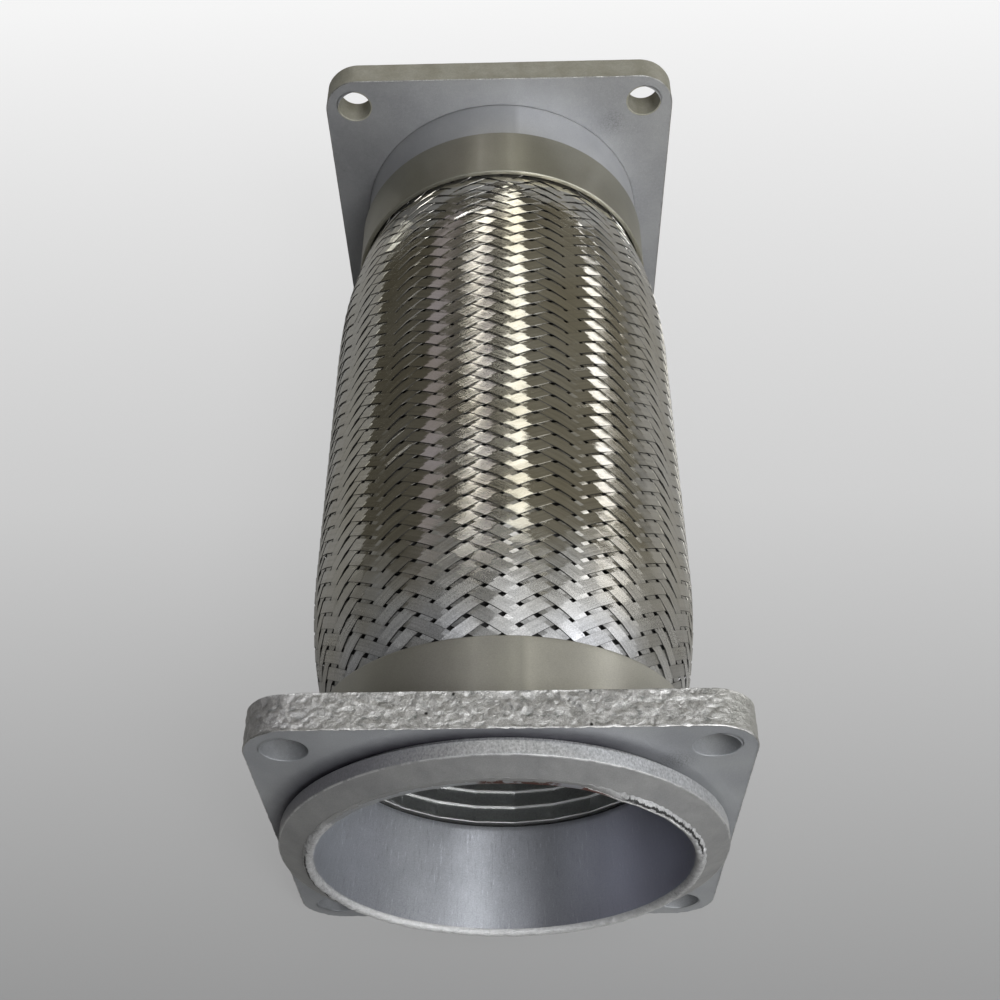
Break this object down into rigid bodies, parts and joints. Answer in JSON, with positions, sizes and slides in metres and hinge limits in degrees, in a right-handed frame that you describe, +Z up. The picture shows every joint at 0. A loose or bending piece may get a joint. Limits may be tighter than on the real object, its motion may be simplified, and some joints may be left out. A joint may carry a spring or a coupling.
{
  "type": "exhaust flex pipe",
  "caption": "Flexible metal exhaust pipe in a woven wire jacket, with a square bolted flange at each end and a raised seal ring round one mouth.",
  "frame": {"origin": "centre of the near flange's front face, on the pipe's axis", "axes": "+Y along the pipe from the near flange to the far one, +Z up as it rests on the flanges' lower edges, +X to the right seen from the near end"},
  "size_m": [0.15, 0.3295, 0.15],
  "materials": {
    "near_flange_paint": "satin silver-grey paint over a rough cut edge",
    "far_flange_paint": "satin silver-grey paint",
    "ring_metal": "satin grey over turned steel",
    "weld_metal": "rough ground weld bead",
    "hidden_weld_metal": "plain weld bead",
    "sleeve_paint": "glossy silver paint with lengthwise scratches",
    "near_cap_metal": "satin",
    "far_cap_metal": "satin",
    "collar_paint": "satin silver-grey paint",
    "liner_metal": "dark rolled strip with bright lips",
    "bellows_metal": "plain",
    "braid_wire": "bright drawn wire",
    "far_weld_metal": "plain weld bead"
  },
  "bodies": {
    "root": {"near_flange": "near_flange_paint", "far_flange": "far_flange_paint", "near_seal_ring": "ring_metal", "near_rim_weld": "weld_metal", "near_root_weld": "hidden_weld_metal", "near_sleeve": "sleeve_paint", "near_end_cap": "near_cap_metal", "far_end_cap": "far_cap_metal", "far_collar": "collar_paint", "liner": "liner_metal", "bellows": "bellows_metal", "braid": "braid_wire", "far_rim_weld": "far_weld_metal"}
  },
  "joints": []
}
